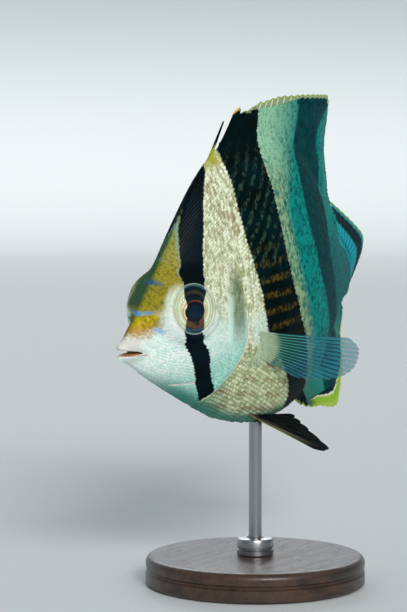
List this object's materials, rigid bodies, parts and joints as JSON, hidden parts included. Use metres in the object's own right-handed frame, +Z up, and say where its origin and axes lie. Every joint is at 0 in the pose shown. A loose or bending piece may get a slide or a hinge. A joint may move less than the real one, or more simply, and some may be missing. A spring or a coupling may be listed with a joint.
{
  "type": "banded butterflyfish",
  "caption": "Life-size still model of a deep-bodied banded reef fish with spread fins, held by a rod on a round wooden base.",
  "frame": {"origin": "middle of the underside of the stand's base, on the surface it stands on", "axes": "+Z up; the fish faces -X; its left flank is towards -Y"},
  "size_m": [0.1278, 0.054, 0.1218],
  "materials": {
    "fish_skin": "cream and silver with black bars, satin, finely scaled",
    "median_fin": "black and cream with a pale yellow edge",
    "caudal_fin": "pale teal with a dark band and a yellow-green edge",
    "clear_fin": "thin bluish clear membrane on fine rays",
    "dark_fin": "black with a brown leading spine",
    "eye": "glossy, pale gold ring round a blue-black pupil",
    "base_wood": "dark oiled wood",
    "steel": "satin"
  },
  "bodies": {
    "root": {"head": "fish_skin", "trunk": "fish_skin", "tail_stalk": "fish_skin", "dorsal_fin_spiny": "median_fin", "dorsal_fin_soft": "median_fin", "anal_fin": "median_fin", "caudal_fin": "caudal_fin", "pectoral_fin_left": "clear_fin", "pectoral_fin_right": "clear_fin", "pelvic_fin_left": "dark_fin", "pelvic_fin_right": "dark_fin", "eye_left": "eye", "eye_right": "eye", "stand_base": "base_wood", "stand_collar": "steel", "stand_rod": "steel"}
  },
  "joints": []
}
